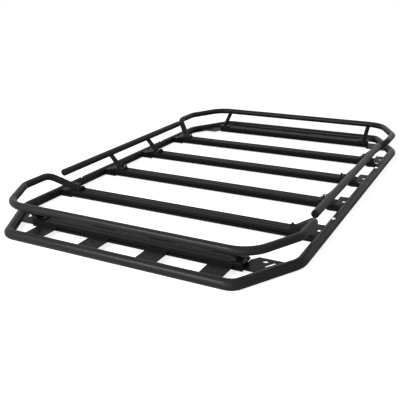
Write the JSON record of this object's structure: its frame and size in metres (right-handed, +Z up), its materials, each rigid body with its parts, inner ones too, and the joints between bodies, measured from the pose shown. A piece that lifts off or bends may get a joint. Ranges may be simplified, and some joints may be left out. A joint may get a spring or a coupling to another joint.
{
  "type": "flat platform roof rack",
  "caption": "Flat roof rack with a bent tube perimeter, extruded crossbars set between fabricated brackets, and a raised tubular guard rail on feet with tie down lugs.",
  "frame": {"origin": "middle of the rack, level with the underside of the perimeter tube", "axes": "+X to the vehicle's right, +Y along the vehicle, away from the end nearest the camera, +Z up"},
  "size_m": [1.2122, 1.9502, 0.1256],
  "materials": {
    "tube": "satin black powder coat",
    "extrusion": "fine textured black powder coat",
    "bracket": "fine textured black powder coat",
    "plug": "matte black"
  },
  "bodies": {
    "root": {"front_perimeter_tube": "tube", "rear_perimeter_tube": "tube", "left_side_tube": "tube", "right_side_tube": "tube", "crossbar_1": "extrusion", "crossbar_2": "extrusion", "crossbar_3": "extrusion", "crossbar_4": "extrusion", "crossbar_5": "extrusion", "crossbar_6": "extrusion", "front_tab_1": "bracket", "front_tab_2": "bracket", "front_tab_3": "bracket", "front_tab_4": "bracket", "rear_tab_1": "bracket", "rear_tab_2": "bracket", "rear_tab_3": "bracket", "rear_tab_4": "bracket", "front_left_corner_plate": "bracket", "front_right_corner_plate": "bracket", "rear_left_corner_plate": "bracket", "rear_right_corner_plate": "bracket", "left_bracket_2": "bracket", "left_bracket_3": "bracket", "left_bracket_4": "bracket", "left_bracket_5": "bracket", "right_bracket_2": "bracket", "right_bracket_3": "bracket", "right_bracket_4": "bracket", "right_bracket_5": "bracket", "front_guard_hoop": "tube", "rear_guard_hoop": "tube", "left_guard_rail": "tube", "right_guard_rail": "tube", "front_hoop_feet": "bracket", "rear_hoop_feet": "bracket", "front_left_hoop_post": "bracket", "front_right_hoop_post": "bracket", "rear_left_hoop_post": "bracket", "rear_right_hoop_post": "bracket", "left_rail_post_3": "bracket", "left_rail_post_4": "bracket", "right_rail_post_3": "bracket", "right_rail_post_4": "bracket", "rail_end_caps": "plug"}
  },
  "joints": []
}
